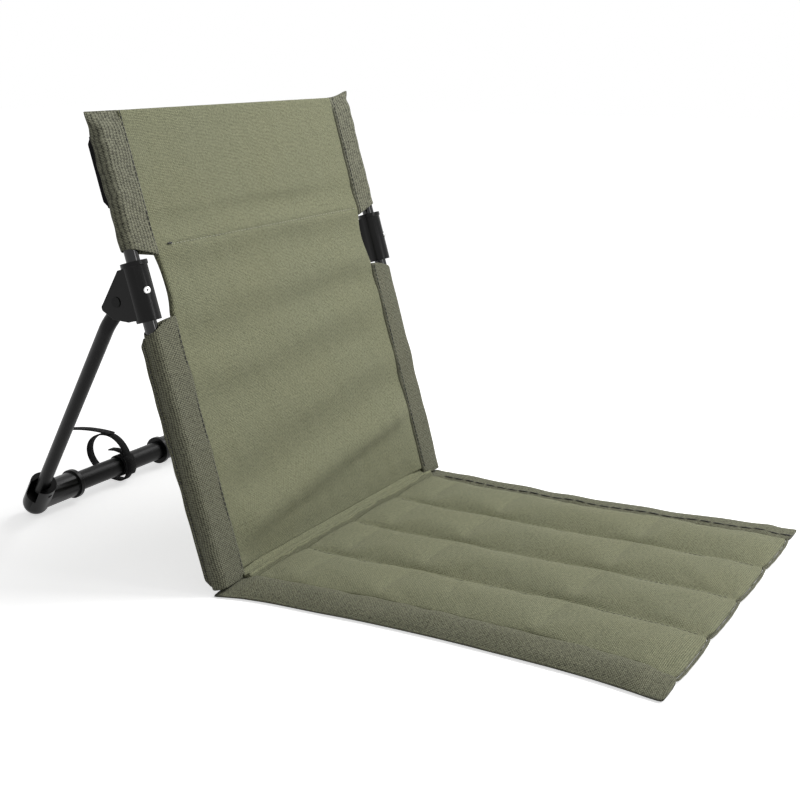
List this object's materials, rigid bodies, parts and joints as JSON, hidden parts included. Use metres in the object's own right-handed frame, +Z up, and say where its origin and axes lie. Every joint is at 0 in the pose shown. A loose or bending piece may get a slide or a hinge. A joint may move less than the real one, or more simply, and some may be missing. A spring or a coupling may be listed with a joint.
{
  "type": "folding camping chair",
  "caption": "Legless folding camping chair: quilted seat pad, reclined cloth back on tubes, and a prop stand behind that folds flat against the back.",
  "frame": {"origin": "centre of the seat pad's underside, on the floor", "axes": "+X to the sitter's left, -Y the way the sitter faces, +Z up"},
  "size_m": [0.4032, 0.7465, 0.4079],
  "materials": {
    "cloth": "sage woven polyester",
    "border_cloth": "darker sage woven polyester",
    "foam": "closed-cell foam",
    "black_tube": "gloss black",
    "black_plastic": "satin black moulded",
    "rivet_steel": "bright",
    "dark_steel": "black oxide",
    "webbing": "black webbing"
  },
  "bodies": {
    "seat": {"seat_top_cloth": "cloth", "seat_foam_strip_1": "foam", "seat_foam_strip_2": "foam", "seat_foam_strip_3": "foam", "seat_foam_strip_4": "foam", "seat_base_cloth": "cloth", "seat_hem_left": "border_cloth", "seat_hem_right": "border_cloth"},
    "backrest": {"crease_welt": "cloth", "back_front_cloth": "cloth", "back_foam": "foam", "back_rear_cloth": "cloth", "lower_sleeve_left": "border_cloth", "lower_sleeve_right": "border_cloth", "upper_sleeve_left": "border_cloth", "upper_sleeve_right": "border_cloth", "back_tube_left": "black_tube", "back_tube_right": "black_tube", "tube_foot_cap_left": "black_plastic", "tube_foot_cap_right": "black_plastic", "tube_top_cap_left": "black_plastic", "tube_top_cap_right": "black_plastic", "bracket_left": "black_plastic", "bracket_right": "black_plastic", "bracket_rivets": "rivet_steel", "leg_pin_left": "dark_steel", "leg_pin_right": "dark_steel"},
    "stand": {"leg_left": "black_tube", "leg_right": "black_tube", "foot_left": "black_plastic", "foot_right": "black_plastic", "foot_pins": "dark_steel", "crossbar": "black_tube", "tie_strap": "webbing"}
  },
  "joints": [
    {"name": "back_fold", "type": "hinge", "parent": "seat", "child": "backrest", "pos_m": [0, 0.1861, 0.012], "axis": [1, 0, 0], "range_deg": [-74, 105]},
    {"name": "stand_fold", "type": "hinge", "parent": "backrest", "child": "stand", "pos_m": [0, 0.28822, 0.24632], "axis": [-1, 0, 0], "range_deg": [0, 56]}
  ]
}
